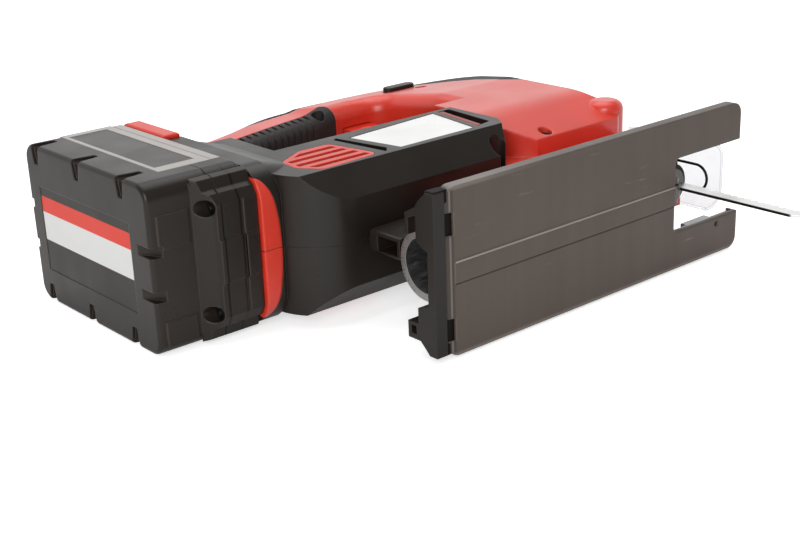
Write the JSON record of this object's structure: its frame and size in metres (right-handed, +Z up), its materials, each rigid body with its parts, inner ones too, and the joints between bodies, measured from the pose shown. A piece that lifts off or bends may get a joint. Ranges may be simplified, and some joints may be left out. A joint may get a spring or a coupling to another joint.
{
  "type": "cordless jigsaw",
  "caption": "Cordless jigsaw with a closed D-shaped grip, tilting sole, pendulum roller, reciprocating blade and slide-in battery pack, lying on its side.",
  "frame": {"origin": "middle of the bounding box on the floor that the tool lies on", "axes": "+X towards the front of the tool, +Y from the sole to the grip, +Z up, which is the tool's right side"},
  "size_m": [0.2952, 0.29, 0.081],
  "materials": {
    "red_plastic": "satin",
    "black_plastic": "satin",
    "soft_black": "matte",
    "label_white": "gloss",
    "screw_steel": "satin",
    "inner_plastic": "matte",
    "steel": "satin",
    "magnet": "matte",
    "copper": "satin",
    "carbon": "matte",
    "cast_metal": "satin",
    "bronze": "satin",
    "blade_steel": "satin",
    "sole_grey": "satin",
    "clear_plastic": "gloss",
    "wire_black": "satin",
    "pack_plastic": "satin",
    "plate_grey": "satin",
    "rating_print": "satin",
    "cell_wrap": "gloss"
  },
  "bodies": {
    "body": {"right_shell": "red_plastic", "left_shell": "red_plastic", "right_grip": "soft_black", "left_grip": "soft_black", "right_front_pad": "soft_black", "left_front_pad": "soft_black", "right_motor_cover": "black_plastic", "left_motor_cover": "black_plastic", "right_vent": "red_plastic", "left_vent": "red_plastic", "label_plate": "label_white", "housing_screws": "screw_steel", "switch_body": "inner_plastic", "motor_can": "steel", "magnets": "magnet", "brush_holder": "inner_plastic", "brushes": "carbon", "rear_bearing": "steel", "front_bearing": "steel", "gear_axle": "steel", "gear_case": "cast_metal", "upper_guide": "cast_metal", "lower_bush": "bronze", "upper_bush": "bronze", "fork_pin": "steel", "bevel_bolt": "steel", "dust_shield": "clear_plastic", "wire_guard": "wire_black", "tool_terminals": "inner_plastic"},
    "rotor": {"armature": "steel", "commutator": "copper", "fan": "inner_plastic", "pinion": "steel"},
    "gear": {"driven_gear": "steel"},
    "ram": {"plunger": "steel", "yoke_roller": "steel", "blade_clamp": "steel", "blade": "blade_steel"},
    "collar": {"clamp_collar": "steel"},
    "fork": {"roller_fork": "steel", "roller_pin": "steel"},
    "roller": {"guide_roller": "steel"},
    "selector": {"pendulum_lever": "black_plastic"},
    "shoe": {"sole_cover": "sole_grey", "shoe_base": "cast_metal", "shoe_clip": "black_plastic"},
    "lever": {"bevel_lever": "black_plastic"},
    "trigger": {"trigger": "red_plastic"},
    "lock": {"lock_button": "black_plastic"},
    "pack": {"pack_tub": "pack_plastic", "pack_top": "pack_plastic", "pack_plate": "plate_grey", "rating_plate": "rating_print", "pack_screws": "screw_steel", "cells": "cell_wrap", "pack_terminals": "copper"},
    "latch_right": {"right_latch": "red_plastic"},
    "latch_left": {"left_latch": "red_plastic"}
  },
  "joints": [
    {"name": "rotor_spin", "type": "hinge", "parent": "body", "child": "rotor", "pos_m": [0.0016, 0.017, 0.0405], "axis": [1, 0, 0], "continuous": true},
    {"name": "gear_spin", "type": "hinge", "parent": "body", "child": "gear", "pos_m": [0.0796, 0.042, 0.0405], "axis": [1, 0, 0], "continuous": true},
    {"name": "plunger_stroke", "type": "slide", "parent": "body", "child": "ram", "axis": [0, 1, 0], "range_m": [0, 0.026]},
    {"name": "collar_turn", "type": "hinge", "parent": "ram", "child": "collar", "pos_m": [0.1116, -0.061, 0.0405], "axis": [0, 1, 0], "range_deg": [0, 60], "stiffness_Nm_per_rad": 0.05},
    {"name": "fork_swing", "type": "hinge", "parent": "body", "child": "fork", "pos_m": [0.0926, -0.037, 0.0405], "axis": [0, 0, 1], "range_deg": [-3, 0], "stiffness_Nm_per_rad": 0.5},
    {"name": "roller_turn", "type": "hinge", "parent": "fork", "child": "roller", "pos_m": [0.1028, -0.073, 0.0405], "axis": [0, 0, 1], "continuous": true},
    {"name": "selector_turn", "type": "hinge", "parent": "body", "child": "selector", "pos_m": [0.0736, -0.035, 0.0205], "axis": [0, 0, 1], "range_deg": [-40, 0]},
    {"name": "bevel_tilt", "type": "hinge", "parent": "body", "child": "shoe", "pos_m": [0.0016, -0.065, 0.0405], "axis": [1, 0, 0], "range_deg": [-45, 45]},
    {"name": "lever_turn", "type": "hinge", "parent": "body", "child": "lever", "pos_m": [0.0036, -0.03, 0.0405], "axis": [0, 1, 0], "range_deg": [0, 70]},
    {"name": "trigger_pull", "type": "slide", "parent": "body", "child": "trigger", "axis": [0, 1, 0], "range_m": [0, 0.006], "stiffness_N_per_m": 600},
    {"name": "lock_push", "type": "slide", "parent": "body", "child": "lock", "axis": [0, 0, -1], "range_m": [0, 0.0025]},
    {"name": "pack_slide", "type": "slide", "parent": "body", "child": "pack", "axis": [0, 1, 0], "range_m": [0, 0.11]},
    {"name": "right_latch_push", "type": "slide", "parent": "pack", "child": "latch_right", "axis": [0, 0, -1], "range_m": [0, 0.002], "stiffness_N_per_m": 1000},
    {"name": "left_latch_push", "type": "slide", "parent": "pack", "child": "latch_left", "axis": [0, 0, 1], "range_m": [0, 0.002], "stiffness_N_per_m": 1000}
  ],
  "couplings": [
    {"joint": "gear_spin", "follows": "rotor_spin", "ratio": -0.19048}
  ]
}
